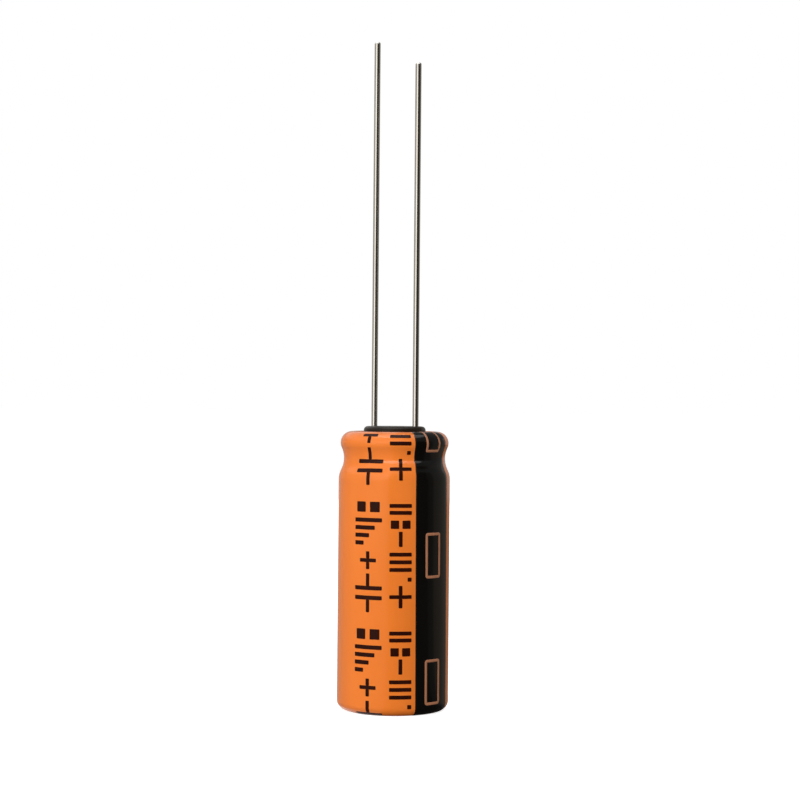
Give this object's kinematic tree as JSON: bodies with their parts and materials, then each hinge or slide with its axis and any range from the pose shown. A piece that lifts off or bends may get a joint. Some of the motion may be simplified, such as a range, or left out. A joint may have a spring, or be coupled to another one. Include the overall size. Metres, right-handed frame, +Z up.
{
  "type": "radial hybrid capacitor",
  "caption": "Backup-power hybrid capacitor: a beaded can in an orange sleeve with a black polarity stripe, rubber end seal and straight wire leads",
  "frame": {"origin": "middle of the base that it stands on", "axes": "+Z up along the leads, X through both leads with the longer positive lead at -X"},
  "size_m": [0.0082, 0.0082, 0.0494],
  "materials": {
    "sleeve_film": "glossy shrunk film, orange with a black stripe",
    "can_metal": "drawn aluminium sheet",
    "seal_rubber": "moulded black rubber",
    "lead_wire": "tinned drawn wire",
    "tab_metal": "pressed aluminium",
    "wound_electrodes": "carbon-coated foil and separator paper, wound",
    "tape_film": "thin adhesive film"
  },
  "bodies": {
    "root": {"printed_sleeve": "sleeve_film", "aluminium_can": "can_metal", "rubber_bung": "seal_rubber", "positive_lead": "lead_wire", "negative_lead": "lead_wire", "positive_tab": "tab_metal", "negative_tab": "tab_metal", "wound_element": "wound_electrodes", "winding_tape": "tape_film"}
  },
  "joints": []
}
